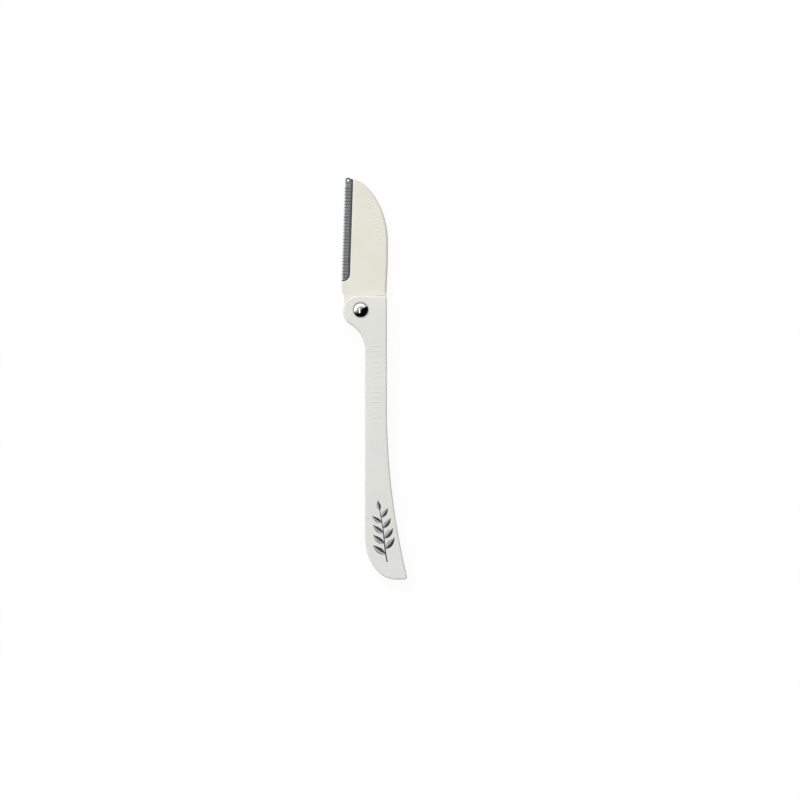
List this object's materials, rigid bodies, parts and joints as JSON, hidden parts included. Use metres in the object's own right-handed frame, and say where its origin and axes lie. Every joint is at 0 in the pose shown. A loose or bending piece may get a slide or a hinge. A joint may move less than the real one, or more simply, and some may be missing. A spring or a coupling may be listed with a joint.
{
  "type": "folding razor",
  "caption": "Folding face razor with a slotted plastic handle, a fold-out blade carrier, a comb-guarded blade and a two-piece rivet.",
  "frame": {"origin": "middle of the open razor's box, on its flat back face", "axes": "+Y from the foot of the handle to the nose of the blade carrier, +X to the razor's back, +Z out of the front face"},
  "size_m": [0.0246, 0.15, 0.0062],
  "materials": {
    "handle_plastic": "glossy moulded off-white plastic",
    "carrier_plastic": "glossy moulded ivory plastic",
    "blade_steel": "ground stainless steel",
    "guard_steel": "dark etched stainless sheet",
    "rivet_chrome": "polished and plated",
    "socket_steel": "plain turned",
    "washer_plastic": "plain sheet",
    "foil": "hot-stamped dark silver foil"
  },
  "bodies": {
    "handle": {"handle": "handle_plastic", "rivet_stud": "rivet_chrome", "rivet_socket": "socket_steel", "front_washer": "washer_plastic", "rear_washer": "washer_plastic", "foil_sprig": "foil"},
    "head": {"blade_carrier": "carrier_plastic", "blade": "blade_steel", "comb_guard": "guard_steel"}
  },
  "joints": [
    {"name": "head_fold", "type": "hinge", "parent": "handle", "child": "head", "pos_m": [-0.005, 0.02565, 0.0024], "axis": [0, 0, 1], "range_deg": [0, 180]}
  ]
}
